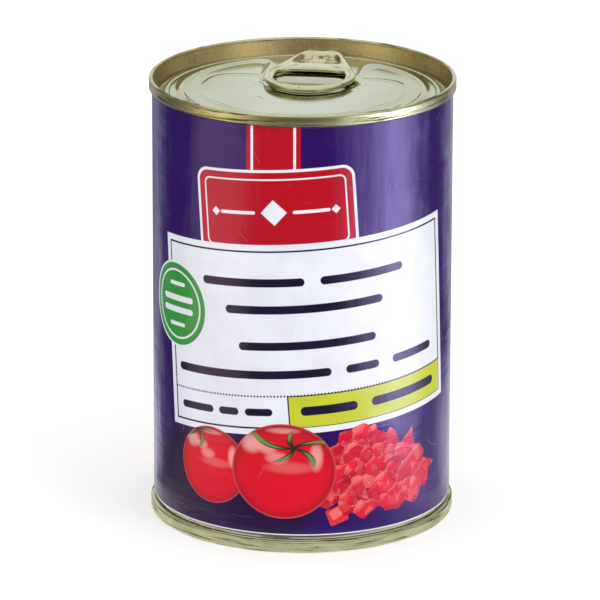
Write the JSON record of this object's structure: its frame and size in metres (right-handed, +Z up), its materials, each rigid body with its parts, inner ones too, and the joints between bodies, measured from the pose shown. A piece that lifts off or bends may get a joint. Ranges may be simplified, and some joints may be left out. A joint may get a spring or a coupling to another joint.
{
  "type": "tin of tomatoes",
  "caption": "Shut round food tin of tomatoes with a paper wrap label, double seams at both ends and a ring-pull lid with a finger hole.",
  "frame": {"origin": "centre of the circle that the tin stands on", "axes": "+Z up along the tin's axis, -Y towards the front of the label, the tab's nose towards +Y"},
  "size_m": [0.0762, 0.0762, 0.112],
  "materials": {
    "tinplate": "bright tinplate, pale gold",
    "lacquered_tinplate": "bright tinplate under clear gold lacquer",
    "label_paper": "glossy printed paper"
  },
  "bodies": {
    "root": {"can_body": "tinplate", "label": "label_paper", "top_end": "lacquered_tinplate", "bottom_end": "tinplate", "pull_tab": "lacquered_tinplate"}
  },
  "joints": []
}
